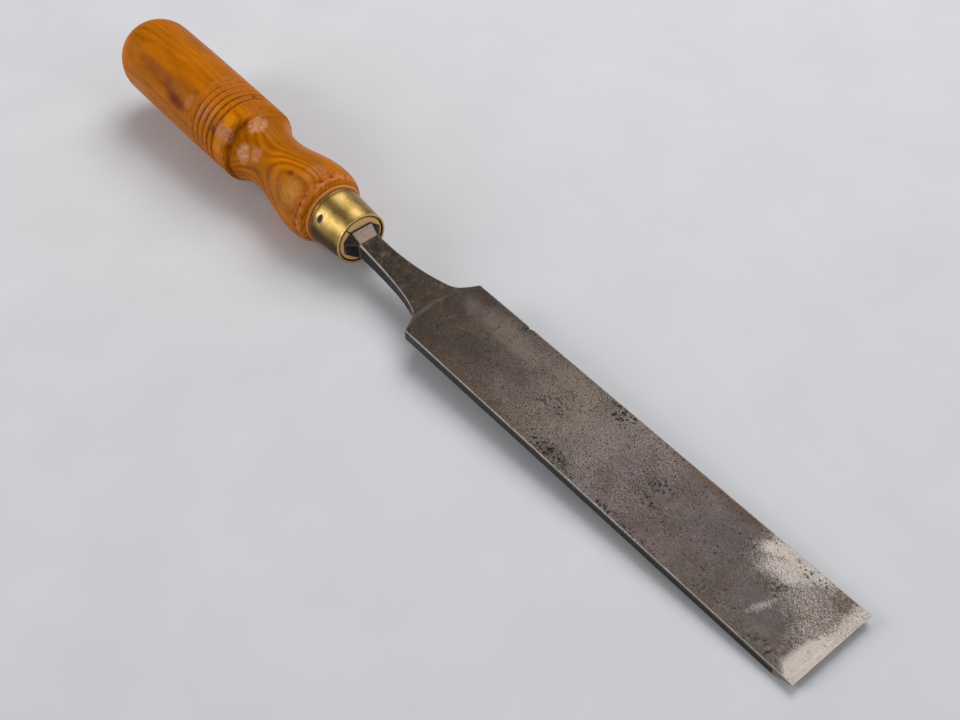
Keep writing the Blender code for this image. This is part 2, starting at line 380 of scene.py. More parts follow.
def turned_towards(finish, direction, low, high):
    """How squarely the true surface faces a fixed direction of the part's frame, as a mask."""
    normal = finish.add("ShaderNodeNewGeometry", {}).outputs["True Normal"]
    turned_to = finish.vector("DOT_PRODUCT", normal, tuple(direction.normalized()))
    return finish.fade(turned_to, low, high)


def tint(red, green, blue, gain=1.0):
    """A colour given as display values of 0 to 255."""
    return tuple(gain * (value / 255) ** 2.2 for value in (red, green, blue)) + (1.0,)


def new_effect(name, inputs, output):
    """An empty node group with its named inputs and one named output."""
    group = bpy.data.node_groups.new(name, "ShaderNodeTree")
    for title, start in inputs.items():
        kind = "NodeSocketVector" if isinstance(start, tuple) else "NodeSocketFloat"
        group.interface.new_socket(title, in_out="INPUT", socket_type=kind).default_value = start
    group.interface.new_socket(output, in_out="OUTPUT", socket_type="NodeSocketFloat")
    mix = Finish(group)
    return mix, mix.add("NodeGroupInput").outputs, mix.add("NodeGroupOutput").inputs[0]


def make_patch():
    """One ragged-edged patch: 1 inside an ellipsoid, 0 outside, its border broken up by noise."""
    start = {"Place": (0.0, 0.0, 0.0), "Centre": (0.0, 0.0, 0.0), "Turn": (0.0, 0.0, 0.0),
             "Size": (1.0, 1.0, 1.0), "Ragged": 0.3, "Grit": 1.0, "Soft": 0.3}
    mix, given, result = new_effect("patch", start, "Mask")
    away = mix.vector("SUBTRACT", given["Place"], given["Centre"])
    turned = mix.add("ShaderNodeVectorRotate", {"Vector": away, "Rotation": given["Turn"]},
                     rotation_type="EULER_XYZ").outputs[0]
    reach = mix.vector("LENGTH", mix.vector("DIVIDE", turned, given["Size"]))
    rough = mix.cloud(given["Place"], given["Grit"], detail=4.0, roughness=0.6)
    torn = mix.scaled(mix.less(rough, 0.5), mix.times(given["Ragged"], 4.0), reach)
    low = mix.rest_of(given["Soft"])
    high = mix.plus(1.0, given["Soft"])
    mix.tree.links.new(mix.fade(torn, low, high, 1.0, 0.0), result)
    return mix.tree


def make_pitting():
    """Small irregular spots: Share of the cells hold one, each Reach of a cell wide at most."""
    start = {"Place": (0.0, 0.0, 0.0), "Cell": 1.0, "Reach": 0.4, "Share": 0.4}
    mix, given, result = new_effect("pitting", start, "Mask")
    scaled = mix.vector("DIVIDE", given["Place"], mix.join(given["Cell"], given["Cell"], given["Cell"]))
    wander = mix.add("ShaderNodeTexNoise", {"Vector": scaled, "Scale": 2.3, "Detail": 2.0}).outputs["Color"]
    bent = mix.vector("ADD", scaled, mix.vector("SCALE", wander, 0.5))
    cells = mix.add("ShaderNodeTexVoronoi", {"Vector": bent, "Scale": 1.0, "Randomness": 1.0})
    chance = mix.split(cells.outputs["Color"])[0]
    size = mix.times(given["Reach"], mix.plus(0.35, mix.split(cells.outputs["Color"])[1]))
    spot = mix.fade(cells.outputs["Distance"], mix.times(size, 0.4), size, 1.0, 0.0)
    kept = mix.math("LESS_THAN", chance, given["Share"])
    mix.tree.links.new(mix.times(spot, kept), result)
    return mix.tree


def make_streaks():
    """Fine lines along one direction: Stretch times longer than they are wide."""
    start = {"Place": (0.0, 0.0, 0.0), "Turn": (0.0, 0.0, 0.0), "Width": 0.2, "Stretch": 30.0, "Sharp": 0.15,
             "Level": 0.55}
    mix, given, result = new_effect("streaks", start, "Mask")
    turned = mix.add("ShaderNodeVectorRotate", {"Vector": given["Place"], "Rotation": given["Turn"]},
                     rotation_type="EULER_XYZ").outputs[0]
    length = mix.times(given["Width"], given["Stretch"])
    drawn = mix.vector("DIVIDE", turned, mix.join(length, given["Width"], given["Width"]))
    noisy = mix.add("ShaderNodeTexNoise", {"Vector": drawn, "Scale": 1.0, "Detail": 2.0, "Distortion": 0.1})
    lines = noisy.outputs[0]
    low = mix.less(given["Level"], given["Sharp"])
    high = mix.plus(given["Level"], given["Sharp"])
    mix.tree.links.new(mix.fade(lines, low, high), result)
    return mix.tree


def make_rubbed():
    """Where hands and benches have rubbed a corner: strong on the arris, patchy along it."""
    start = {"Arris": 0.0, "Place": (0.0, 0.0, 0.0), "Amount": 0.6, "Grit": 2.0}
    mix, given, result = new_effect("rubbed", start, "Mask")
    worn = mix.cloud(given["Place"], given["Grit"], detail=4.0, roughness=0.5)
    level = mix.times(given["Arris"], mix.plus(worn, given["Amount"]))
    mix.tree.links.new(mix.fade(level, 0.45, 1.0), result)
    return mix.tree


PATCH = make_patch()
PITTING = make_pitting()
STREAKS = make_streaks()
RUBBED = make_rubbed()


def new_finish(name, place):
    """A material with its shader, and the surface's place in millimetres in the given frame."""
    material = bpy.data.materials.new(name)
    material.use_nodes = True
    finish = Finish(material.node_tree)
    location, rotation, scale = place.inverted().decompose()
    coordinates = finish.add("ShaderNodeTexCoord").outputs["Object"]
    mapping = finish.add("ShaderNodeMapping", {"Vector": coordinates, "Location": location,
                                               "Rotation": rotation.to_euler(), "Scale": scale}).outputs[0]
    arris = finish.add("ShaderNodeAttribute", attribute_name="arris").outputs["Fac"]
    return material, finish, mapping, arris


def relief(finish, height):
    """Bump whose height is in millimetres."""
    return finish.add("ShaderNodeBump", {"Strength": 1.0, "Distance": MM, "Height": height}).outputs[0]


STEEL_GAIN = 0.5
STEEL_TONES = ((-46, (60, 50, 44)), (-38, (44, 35, 28)), (-24, (64, 53, 43)), (-8, (76, 64, 53)),
               (2, (76, 64, 54)), (16, (92, 80, 71)), (38, (108, 95, 88)), (54, (124, 110, 102)),
               (70, (134, 121, 114)), (86, (126, 113, 110)), (102, (116, 103, 99)), (125, (108, 96, 93)),
               (146, (118, 105, 99)), (163, (128, 113, 104)))


def patches(finish, place, spots, ragged, grit, soft):
    """The strongest of several patches, each (centre, size, turn, strength)."""
    total = None
    for centre, size, turn, strength in spots:
        mask = finish.effect(PATCH, Place=place, Centre=centre, Size=size, Turn=turn, Ragged=ragged,
                             Grit=grit, Soft=soft)
        mask = finish.times(mask, strength)
        total = mask if total is None else finish.most(total, mask)
    return total


def on_back(x, y, half_length, half_width, turn=0.0, strength=1.0):
    """A patch on the blade's back, only as deep as the steel's skin."""
    return (x, y, 0.0), (half_length, half_width, 1.2), (0.0, 0.0, radians(turn)), strength


PALE_RUBS = (on_back(24, 8.5, 19, 4.0, 0, 0.5), on_back(48, 10, 20, 4, 0, 0.35),
             on_back(64, 3, 16, 8, 0, 0.3), on_back(78, 8, 10, 5, 0, 0.3), on_back(40, -6, 7, 4, 0, 0.25))
DARK_STAINS = (on_back(20, -4.5, 9, 4.5, 0, 0.6), on_back(8, -10, 12, 5, 0, 0.45),
               on_back(34, -2, 8, 2.4, 0, 0.4), on_back(3, 13.5, 8, 3, 0, 0.45),
               on_back(70, -13.5, 9, 2.5, 0, 0.35), on_back(120, 14, 8, 3, 0, 0.3))
PIT_CLUSTERS = (on_back(26, 15, 2.6, 1.4), on_back(71, 13.2, 5.5, 3.6), on_back(66, -13, 8, 2.4),
                on_back(98, 3, 5, 2.5, 0, 0.8), on_back(99, -3.2, 6, 2, 0, 0.8), on_back(92, -15, 4, 1.3),
                on_back(105, -15, 5, 1.4), on_back(145, 14.0, 6, 1.8, 0, 0.9),
                on_back(141, 3, 3, 2.5, 0, 0.8), on_back(151, -13.2, 4, 1.8, 0, 0.9),
                on_back(54, -0.5, 5, 3.2, 0, 0.7))
HONED = (on_back(141, 14.8, 12, 4.6, 0, 1.0), on_back(133.5, 12.5, 6, 3.4, -30, 0.9),
         on_back(140, 9.5, 10, 5.0, -20, 0.85), on_back(149, 7, 10, 9.0, 0, 0.57),
         on_back(142.5, -4.0, 6.0, 1.3, -72, 0.62), on_back(156, 2, 6, 12, 0, 0.56))
BLUED = (on_back(146, -5, 8, 4.5, 0, 0.5), on_back(119, 4, 12, 5, 0, 0.2))
TANNED = (on_back(154, 4, 6, 11, 0, 0.55), on_back(151, 15, 8, 1.8, 0, 0.9),
          on_back(112, 15, 16, 2.2, 0, 0.5), on_back(30, -14.5, 24, 1.8, 0, 0.45))
LAPPED_FROM = 156.2
BOLSTER_FACET = Vector((0.62, 0.0, 0.78))


def steel_tint(red, green, blue):
    return tint(red, green, blue, STEEL_GAIN)


def survey_steel(steel, place, arris):
    """Each point's place on the tool, and the noises, broad to fine, that its marks are drawn from."""
    along, across, height = steel.split(place)
    return SimpleNamespace(place=place, arris=arris, along=along, across=across, height=height,
                           coarse=steel.cloud(place, 9.0, detail=3.0),
                           mid=steel.cloud(place, 2.2, detail=4.0, roughness=0.62),
                           fine=steel.cloud(place, 0.6, detail=4.0, roughness=0.7),
                           grain=steel.cloud(place, 0.42, detail=2.0, roughness=0.6))


def old_skin(steel, here):
    """The patina: its tone along the tool, mottled and freckled, rusty here and scoured there."""
    skin = steel.ramp(here.along, -46, 164, [(x, steel_tint(*tone)) for x, tone in STEEL_TONES])
    mottle = steel.scaled(here.coarse, 0.6, steel.scaled(here.mid, 0.8, steel.times(here.fine, 0.9)))
    skin = steel.shade(skin, steel.fade(mottle, 0.82, 1.48, 0.46, 1.58))
    contrast = steel.fade(here.along, 10.0, 50.0, 1.9, 3.9)
    contrast = steel.times(contrast, steel.fade(here.along, 88.0, 108.0, 1.0, 0.4))
    freckles = steel.times(steel.less(here.grain, 0.5), contrast)
    skin = steel.shade(skin, steel.plus(freckles, 1.0))
    rusty = steel.fade(steel.cloud(here.place, 4.5, detail=4.0, roughness=0.6), 0.45, 0.62)
    rusty = steel.times(rusty, steel.fade(here.along, 0.0, 60.0, 0.65, 0.35))
    skin = steel.over(skin, steel_tint(84, 62, 42), rusty)
    scoured = steel.fade(steel.cloud(here.place, 3.4, detail=4.0, roughness=0.6), 0.52, 0.7)
    scoured = steel.times(scoured, steel.fade(here.along, -36.0, 30.0, 0.45, 0.3))
    skin = steel.over(skin, steel_tint(128, 114, 100), scoured)
    skin = steel.over(skin, steel_tint(140, 126, 115), patches(steel, here.place, PALE_RUBS, 0.5, 5.0, 0.6))
    return steel.over(skin, steel_tint(70, 58, 50), patches(steel, here.place, DARK_STAINS, 0.5, 4.0, 0.6))


def rust_pits(steel, here):
    """Fine pits over the middle of the blade, small ones all over, and clusters of deep ones."""
    middle = steel.fade(here.along, -12.0, 45.0, 0.25, 1.0)
    middle = steel.times(middle, steel.fade(here.along, 92.0, 112.0, 1.0, 0.3))
    crowded = steel.times(steel.fade(here.mid, 0.34, 0.66, 0.1, 0.8), middle)
    fine_pits = steel.effect(PITTING, Place=here.place, Cell=0.55, Reach=0.45, Share=crowded)
    sparse = steel.fade(here.coarse, 0.38, 0.66, 0.03, 0.3)
    small_pits = steel.effect(PITTING, Place=here.place, Cell=1.1, Reach=0.3, Share=sparse)
    deep_pits = steel.effect(PITTING, Place=here.place, Cell=0.95, Reach=0.6, Share=0.7)
    deep_pits = steel.times(patches(steel, here.place, PIT_CLUSTERS, 0.5, 1.6, 0.5), deep_pits)
    shallow = steel.most(steel.times(fine_pits, 0.55), steel.times(small_pits, 0.75))
    return steel.most(shallow, deep_pits)


def neck_marks_and_painted_light(steel, here, skin):
    """A painted highlight on the bolster's sloping facet, painted shade on the sides below the back, and the
    worn crest of the low ridge.
    """
    at_bolster = steel.fade(here.along, -40.6, -40.2, 1.0, 0.0)
    # Painted highlight: the bolster facet that faces the light is painted pale.
    sloping = turned_towards(steel, TOOL.to_3x3() @ BOLSTER_FACET, 0.9, 0.94)
    painted_facet_highlight = steel.times(steel.times(sloping, at_bolster), steel.fade(here.fine, 0.32, 0.6, 0.6, 1.0))
    skin = steel.over(skin, tint(176, 152, 138), painted_facet_highlight)
    # Painted shade: below the back, the sides are painted nearly black, standing in for their shade and dark
    # reflections.
    below = steel.times(steel.fade(here.height, -1.1, -0.3, 0.85, 0.0), steel.rest_of(at_bolster))
    skin = steel.over(skin, steel_tint(14, 11, 9), below)
    bowed = steel.scaled(steel.math("POWER", here.across, 2.0), RIDGE_BOW, RIDGE_AT)
    crest = steel.fade(steel.size_of(steel.less(here.along, bowed)), 0.1, 1.4, 0.8, 0.0)
    crest = steel.times(crest, steel.fade(here.across, -6.0, 8.0, 0.4, 0.05))
    crest = steel.times(crest, steel.fade(here.height, -0.6, -0.3))
    return steel.over(skin, steel_tint(140, 124, 110), crest), below


def honed_metal(steel, here, pit, hairlines):
    """Where an abrasive has cut through the patina, broken up by the grain and by the pits it skipped."""
    grit = steel.scaled(here.fine, 1.5, steel.scaled(here.mid, 0.6, steel.times(hairlines, 0.3)))
    broken = steel.scaled(here.grain, 0.8, steel.less(grit, 1.5))
    honed = steel.fade(steel.plus(patches(steel, here.place, HONED, 0.15, 2.6, 0.8), broken), 0.2, 0.95)
    return steel.times(honed, steel.rest_of(steel.times(pit, 0.8)))


def lapped_metal(steel, here):
    """The strip flattened on the stone behind the edge: wide and clean on the left, ragged on the right."""
    border = steel.scaled(steel.fade(here.across, -5, 4), 1.8, LAPPED_FROM)
    border = steel.plus(border, steel.fade(here.across, -15.5, -13.0, 2.5, 0.0))
    ragged = steel.scaled(here.mid, 5.0, steel.scaled(here.fine, 4.0, -4.5))
    ragged = steel.plus(ragged, steel.scaled(here.grain, 5.0, -2.5))
    ragged = steel.times(ragged, steel.fade(here.across, -6, 4, 0.4, 1.7))
    lapped = steel.fade(steel.plus(steel.less(here.along, border), ragged), -0.8, 2.2)
    dotted = steel.times(steel.fade(here.grain, 0.54, 0.64), steel.fade(here.across, -2.0, 6.0, 0.0, 0.6))
    return steel.times(lapped, steel.rest_of(dotted))


def bare_metal(steel, here, pit, hairlines):
    """All the bright steel: honed, lapped, ground on the bevel, and rubbed on the arrises, most on the left
    side, where the bright arris is partly a painted highlight.
    """
    past_heel = steel.fade(here.along, BEVEL_HEEL - 0.1, BEVEL_HEEL + 0.1)
    bevel = steel.times(past_heel, steel.fade(here.height, -0.5, -0.3, 1.0, 0.0))
    # Rubbed arrises, strongest on the left side: partly wear, partly a painted highlight along that edge.
    worn = steel.effect(RUBBED, Arris=here.arris, Place=here.place, Amount=0.7, Grit=6.0)
    worn = steel.times(worn, steel.fade(here.across, -4.0, 4.0, 1.0, 0.25))
    worn = steel.times(worn, steel.fade(here.along, -41.0, -40.0, 0.25, 1.0))
    ground = steel.most(steel.times(lapped_metal(steel, here), 0.93), steel.times(bevel, 0.8))
    honed = steel.times(honed_metal(steel, here, pit, hairlines), 0.86)
    return steel.most(steel.most(honed, ground), worn)


def make_aged_steel():
    material, steel, place, arris = new_finish("aged_steel", TOOL)
    here = survey_steel(steel, place, arris)
    pit = rust_pits(steel, here)
    skin = steel.over(old_skin(steel, here), steel_tint(48, 38, 33), pit, 0.8)
    skin, below = neck_marks_and_painted_light(steel, here, skin)
    skin = steel.over(skin, steel_tint(104, 98, 106), patches(steel, place, BLUED, 0.4, 3.0, 0.9))
    skin = steel.over(skin, steel_tint(98, 76, 56), patches(steel, place, TANNED, 0.4, 2.2, 0.7))
    hairlines = steel.effect(STREAKS, Place=place, Turn=(0.0, 0.0, radians(38)), Width=0.12, Stretch=40.0)
    bright = bare_metal(steel, here, pit, hairlines)
    colour = steel.over(skin, tint(226, 214, 204, 0.36), bright)

    rough = steel.plus(steel.scaled(here.mid, 0.22, 0.38), steel.times(pit, 0.25))
    rough = steel.less(rough, steel.times(bright, 0.1))
    metal = steel.times(steel.scaled(bright, 0.25, 0.75), steel.rest_of(below))
    hills = steel.scaled(here.mid, 0.05, steel.times(here.fine, 0.035))
    hills = steel.scaled(pit, -0.09, hills)
    hills = steel.times(hills, steel.scaled(bright, -0.7, 1.0))
    hills = steel.scaled(hairlines, -0.006, hills)
    steel.dress({"Base Color": colour, "Roughness": rough, "Metallic": metal, "Normal": relief(steel, hills)})
    return material


make_piece("blade_forging", forging, TOOL, make_aged_steel(), "blade")

# ================================================================ the handle
# A billet of ring-porous hardwood turned between centres, with six scored rings on its barrel, a finger
# cove and a swelling behind the ferrule. The nose is turned down for the ferrule, and bored for the tang.
# It is finished in amber varnish, which use has crazed and worn at the bruises; the pale worn patches are
# partly painted highlight.
# Stations are in millimetres along the handle's axis, whose butt is the far end.

BUTT_END = -195.0
BUTT_DOME = 15.0
BUTT_RADIUS = 15.6
BARREL_BULGE = 0.15
SHOULDER_RADIUS = 15.3
BARREL_END = -110.2
RING_COUNT = 6
RING_FIRST = -134.2
RING_PITCH = 3.2
RING_DEPTH = 0.5
RING_HALF_WIDTH = 0.95
SHOULDER_GROOVE = -108.7
SHOULDER_GROOVE_RADIUS = 13.7
COVE_TOP = -107.8
COVE_TOP_RADIUS = 13.8
COVE_SWEEP = 2.2
COVE_WAIST = -97.0
COVE_WAIST_RADIUS = 11.0
BULB_CREST = -71.0
BULB_RADIUS = 14.6
BULB_END = -64.2
BULB_END_RADIUS = 13.3
BEAD_GROOVE = -62.4
BEAD_RADIUS = 11.85
WOOD_STEP = -61.3
NOSE_END = -45.5
NOSE_CHAMFER = 0.5
BORE_GAP = 0.3
BORE_MOUTH_RADIUS = 5.6
BORE_PAST_TANG = 1.5
FERRULE_REAR_RADIUS = 10.9
FERRULE_FRONT_RADIUS = 9.9
FERRULE_WALL = 0.7
FERRULE_FRONT = -45.3
FIT_GAP = 0.3
TURNED_PITCH = 0.45
DOME_STEPS = 48
HANDLE_SEGMENTS = 192


def ferrule_radius(x):
    t = (x - WOOD_STEP) / (FERRULE_FRONT - WOOD_STEP)
    return FERRULE_REAR_RADIUS + (FERRULE_FRONT_RADIUS - FERRULE_REAR_RADIUS) * t


def barrel_radius(x):
    """The barrel's gentle swell, less the scored rings; the first ring is the faintest."""
    t = (x - BUTT_END - BUTT_DOME) / (BARREL_END - BUTT_END - BUTT_DOME)
    radius = BUTT_RADIUS + (SHOULDER_RADIUS - BUTT_RADIUS) * t + BARREL_BULGE * sin(pi * t)
    for ring in range(RING_COUNT):
        away = abs(x - RING_FIRST - ring * RING_PITCH) / RING_HALF_WIDTH
        if away < 1:
            radius -= RING_DEPTH * (0.6 if ring == 0 else 1.0) * (1 + cos(pi * away)) / 2
    return radius


def cove_radius(x):
    """The finger cove, then the swelling behind the ferrule."""
    if x < COVE_WAIST:
        t = (x - COVE_TOP) / (COVE_WAIST - COVE_TOP)
        return COVE_WAIST_RADIUS + (COVE_TOP_RADIUS - COVE_WAIST_RADIUS) * (1 - t) ** COVE_SWEEP
    return ease(COVE_WAIST_RADIUS, BULB_RADIUS, min((x - COVE_WAIST) / (BULB_CREST - COVE_WAIST), 1))


def stretch(start, end, radius):
    """Points of a turned outline from start up to, but not on, end."""
    count = round((end - start) / TURNED_PITCH)
    stations = [start + (end - start) * i / count for i in range(count)]
    return [(x, radius(x)) for x in stations]


def straight(points, pitch):
    """A turned outline through corner points, cut into short lengths."""
    outline = []
    for (x0, r0), (x1, r1) in zip(points, points[1:]):
        count = max(round(hypot(x1 - x0, r1 - r0) / pitch), 1)
        outline += [(x0 + (x1 - x0) * i / count, r0 + (r1 - r0) * i / count) for i in range(count)]
    return outline + [points[-1]]


def handle_outline():
    """(x, radius) from the butt over the dome, barrel, cove and bulb, and down the nose to the bore."""
    quarters = [pi / 2 * i / DOME_STEPS for i in range(DOME_STEPS)]
    dome = [(BUTT_END + BUTT_DOME * (1 - cos(angle)), BUTT_RADIUS * sin(angle)) for angle in quarters]
    barrel = stretch(BUTT_END + BUTT_DOME, BARREL_END - 0.3, barrel_radius)
    groove = straight([(BARREL_END - 0.3, SHOULDER_RADIUS),
                       (BARREL_END, SHOULDER_RADIUS - 0.2),
                       (SHOULDER_GROOVE - 0.3, SHOULDER_GROOVE_RADIUS + 0.15),
                       (SHOULDER_GROOVE, SHOULDER_GROOVE_RADIUS - 0.1),
                       (SHOULDER_GROOVE + 0.35, SHOULDER_GROOVE_RADIUS),
                       (COVE_TOP - 0.2, COVE_TOP_RADIUS + 0.1)], 0.3)
    waist = stretch(COVE_TOP, BULB_CREST, cove_radius)
    crest = Vector((BULB_CREST, BULB_RADIUS, 0))
    end = Vector((BULB_END, BULB_END_RADIUS, 0))
    bulb = interpolate_bezier(crest, crest + Vector((3.5, 0, 0)), end + Vector((-1.3, 0.8, 0)), end, 16)
    bead = straight([(BULB_END, BULB_END_RADIUS),
                     (BEAD_GROOVE - 0.3, BEAD_RADIUS + 0.3),
                     (BEAD_GROOVE, BEAD_RADIUS - 0.1),
                     (BEAD_GROOVE + 0.25, BEAD_RADIUS),
                     (BEAD_GROOVE + 0.5, BEAD_RADIUS - 0.1),
                     (WOOD_STEP - 0.25, BEAD_RADIUS - 0.45),
                     (WOOD_STEP - 0.05, BEAD_RADIUS - 0.75),
                     (WOOD_STEP, BEAD_RADIUS - 0.95),
                     (WOOD_STEP, ferrule_radius(WOOD_STEP) - FERRULE_WALL - FIT_GAP)], 0.3)
    nose_tip = ferrule_radius(NOSE_END) - FERRULE_WALL - FIT_GAP
    nose = straight([bead[-1], (NOSE_END - NOSE_CHAMFER, nose_tip), (NOSE_END, nose_tip - NOSE_CHAMFER)], 1.2)
    face = straight([(NOSE_END, nose_tip - NOSE_CHAMFER), (NOSE_END, BORE_MOUTH_RADIUS)], 0.35)
    return dome + barrel + groove + waist + [(p.x, p.y) for p in bulb[:-1]] + bead[:-1] + nose[:-1] + face


def turn(outline, segments):
    """Spin an outline of (x, radius) points once round the x axis."""
    bm = bmesh.new()
    verts = [bm.verts.new((x, radius, 0)) for x, radius in outline]
    edges = [bm.edges.new(pair) for pair in zip(verts, verts[1:])]
    bmesh.ops.spin(bm, geom=verts + edges, cent=(0, 0, 0), axis=(1, 0, 0), angle=2 * pi, steps=segments,
                   use_merge=True)
    bmesh.ops.remove_doubles(bm, verts=bm.verts, dist=0.001)
    return bm


def bore(bm):
    """Sink the tapered square hole for the tang into the nose."""
    mouth = [edge for edge in bm.edges if edge.is_boundary]
    growth = (TANG_ROOT_HALF - TANG_END_HALF) / TANG_LENGTH
    deep = TANG_LENGTH + BORE_PAST_TANG
    squares = []
    for x, half in ((NOSE_END, TANG_ROOT_HALF + BORE_GAP),
                    (BOLSTER_BACK - deep, TANG_ROOT_HALF - growth * deep + BORE_GAP)):
        verts = [bm.verts.new((x, y * half, z * half)) for y, z in ((1, 1), (-1, 1), (-1, -1), (1, -1))]
        squares.append([bm.edges.new(pair) for pair in zip(verts, verts[1:] + verts[:1])])
    bmesh.ops.bridge_loops(bm, edges=mouth + squares[0])
    bmesh.ops.bridge_loops(bm, edges=squares[0] + squares[1])
    bmesh.ops.contextual_create(bm, geom=squares[1])


handle = turn(handle_outline(), HANDLE_SEGMENTS)
bore(handle)
bmesh.ops.recalc_face_normals(handle, faces=handle.faces)
mark_arrises(handle, radians(14), 0.5)

# Bruises and wear, as (x, angle round the axis from the right, half length, half width, depth)
BRUISES = ((-113.5, 138, 3.4, 4.5, 0.32), (-115.5, 126, 1.4, 1.6, 0.2), (-106.0, 92, 2.6, 4.2, 0.3),
           (-103.3, 148, 3.2, 5.0, 0.28), (-98.5, 135, 3.0, 2.6, 0.15), (-119.2, 145, 0.9, 1.1, 0.35),
           (-119.6, 65, 0.6, 0.8, 0.5), (-77, 117, 0.8, 0.9, 0.2), (-142, 120, 3, 2, 0.12),
           (-157, 100, 4, 2, 0.12), (-171, 92, 3, 2.4, 0.15), (-176, 133, 2.4, 3, 0.12),
           (-110.5, 75, 1.4, 2.2, 0.3), (-110.0, 170, 1.1, 2.0, 0.3), (-110.1, 112, 0.9, 1.4, 0.25),
           (-65.0, 95, 1.1, 1.8, 0.3), (-64.6, 112, 0.9, 1.5, 0.35), (-65.2, 75, 1.2, 1.5, 0.3),
           (-64.4, 128, 0.8, 1.5, 0.3), (-65.4, 150, 1.0, 1.6, 0.25), (-110.2, 250, 1.2, 2.4, 0.3),
           (-150, 300, 4, 2.2, 0.2), (-90, 20, 3, 2, 0.15), (-69, 330, 2, 2.5, 0.2), (-185, 240, 3, 3, 0.2))
CRACK_ANGLE = radians(130)
CRACK_DEPTH = 0.9
CRACK_WIDTH = 0.22
SANDED = 0.12
WORN_ROUND_AT = 72
WORN_ROUND_WIDTH = 34


def use_and_wear(x, y, z):
    """How far one point of the turned surface has moved out: ripples, bruises, chips and a worn shoulder."""
    radius = hypot(y, z)
    angle = atan2(z, y)
    change = 0.05 * noise.noise(Vector((x / 18, cos(angle) * 1.5, sin(angle) * 1.5)))
    change += 0.02 * noise.noise(Vector((x / 5, y * 1.6, z * 1.6)))
    for at, bearing, half_length, half_width, depth in BRUISES:
        side = (degrees(angle) - bearing + 180) % 360 - 180
        away = ((x - at) / half_length) ** 2 + (radians(side) * radius / half_width) ** 2
        if away < 6:
            rough = 1 + 0.5 * noise.noise(Vector((x, y, z)))
            change -= depth * exp(-away * 1.2) * rough
    chipped = max(0, noise.noise(Vector((x * 0.55, y * 0.55, z * 0.55 + 5))) - 0.02)
    change -= 1.1 * chipped * exp(-((x - BULB_END + 0.6) / 1.2) ** 2)
    change -= 0.6 * chipped * exp(-((x - BARREL_END) / 0.9) ** 2)
    worn_side = exp(-((degrees(angle) - WORN_ROUND_AT) / WORN_ROUND_WIDTH) ** 4)
    change -= worn_side * 0.45 * exp(-((x - BARREL_END + 0.5) / 1.0) ** 2)
    change += worn_side * 0.5 * exp(-((x - SHOULDER_GROOVE - 0.1) / 0.8) ** 2)
    return change


handle.normal_update()
for vert in handle.verts:
    x, y, z = vert.co
    radius = hypot(y, z)
    if x < WOOD_STEP - 0.1 and (radius > 10 or x < BUTT_END + BUTT_DOME):
        vert.co += vert.normal * (use_and_wear(x, y, z) - SANDED)
    if x > NOSE_END - 0.02:
        split = abs((atan2(z, y) - CRACK_ANGLE + pi) % (2 * pi) - pi) * radius
        coarse_end = 0.08 * max(0, noise.noise(Vector((0, y * 1.5, z * 1.5))))
        vert.co.x -= CRACK_DEPTH * exp(-(split / CRACK_WIDTH) ** 2) + coarse_end


GRAIN_FACE = radians(147)
PITH_AWAY = 42.0
RING_WIDTH = 1.5


def around(x, angle, half_length, half_width, strength=1.0):
    """A patch on the turned wood, where the angle is measured round the axis from its right side."""
    bearing = radians(angle)
    radius = barrel_radius(x) if x < BARREL_END else cove_radius(max(x, COVE_TOP))
    centre = (x, radius * cos(bearing), radius * sin(bearing))
    return centre, (half_length, 4.0, half_width), (-bearing, 0.0, 0.0), strength


WOOD_STAINS = (around(-144.0, 152, 5.6, 2.4, 0.85), around(-152.0, 139, 2.6, 1.8, 0.45),
               around(-119.2, 145, 1.4, 1.6, 0.8), around(-119.6, 65, 0.8, 1.0, 0.9),
               around(-166, 137, 5, 2.0, 0.25), around(-77, 117, 1.2, 1.0, 0.7),
               around(-128, 140, 2.5, 2.2, 0.45))
FLAKED_AND_HIGHLIGHT_PATCHES = (around(-113.8, 140, 4.6, 3.6, 0.55), around(-106.2, 94, 2.4, 3.6, 1.0),
                around(-103.4, 149, 2.4, 3.6, 1.0), around(-98.0, 135, 2.4, 3.0, 0.4),
                around(-137, 141, 1.6, 3.6, 0.22), around(-129.5, 136, 1.0, 4.0, 0.4),
                around(-126.3, 134, 1.0, 4.0, 0.4), around(-123.1, 130, 1.0, 4.0, 0.35),
                around(-70, 92, 3, 4.5, 0.2))
AMBER_RUNS = (around(-114.4, 121, 2.4, 2.6, 0.9), around(-114.4, 161, 2.2, 3.2, 0.8))
SCUFFS_AND_HIGHLIGHTS = (around(-71, 141, 4.6, 6.0, 0.55), around(-79, 146, 6, 4.0, 0.25))
YEAR_TONES = ((0.0, (176, 94, 4)), (0.1, (150, 74, 3)), (0.3, (182, 98, 4)), (0.56, (206, 122, 8)),
              (0.86, (198, 112, 6)), (1.0, (176, 94, 4)))


def make_growth_rings(wood, here):
    """How far through its year's growth each point of the wood lies, from 0 to 1, round a distant pith."""
    drawn_out = wood.vector("MULTIPLY", here.place, (0.018, 0.06, 0.06))
    drift = wood.cloud(drawn_out, 1.0, detail=2.0, roughness=0.5)
    drawn_out = wood.vector("MULTIPLY", here.place, (0.06, 0.3, 0.3))
    waver = wood.cloud(drawn_out, 1.0, detail=3.0, roughness=0.5)
    across, over = cos(GRAIN_FACE), sin(GRAIN_FACE)
    outward = wood.plus(wood.times(here.right, across), wood.times(here.up, over))
    sideways = wood.less(wood.times(here.up, across), wood.times(here.right, over))
    leaned = wood.plus(wood.scaled(here.along, 0.012, outward), PITH_AWAY)
    skewed = wood.scaled(here.along, 0.03, sideways)
    from_pith = wood.math("SQRT", wood.plus(wood.math("POWER", leaned, 2.0), wood.math("POWER", skewed, 2.0)))
    bent = wood.plus(from_pith, wood.scaled(drift, 5.0, wood.times(waver, 0.9)))
    return wood.math("FRACT", wood.math("DIVIDE", bent, RING_WIDTH))


def line_at(finish, along, at, core, rim, strength=1.0):
    """A line round a turned piece at one station, full as far as its core and gone at its rim."""
    return finish.fade(finish.size_of(finish.less(along, at)), core, rim, strength, 0.0)


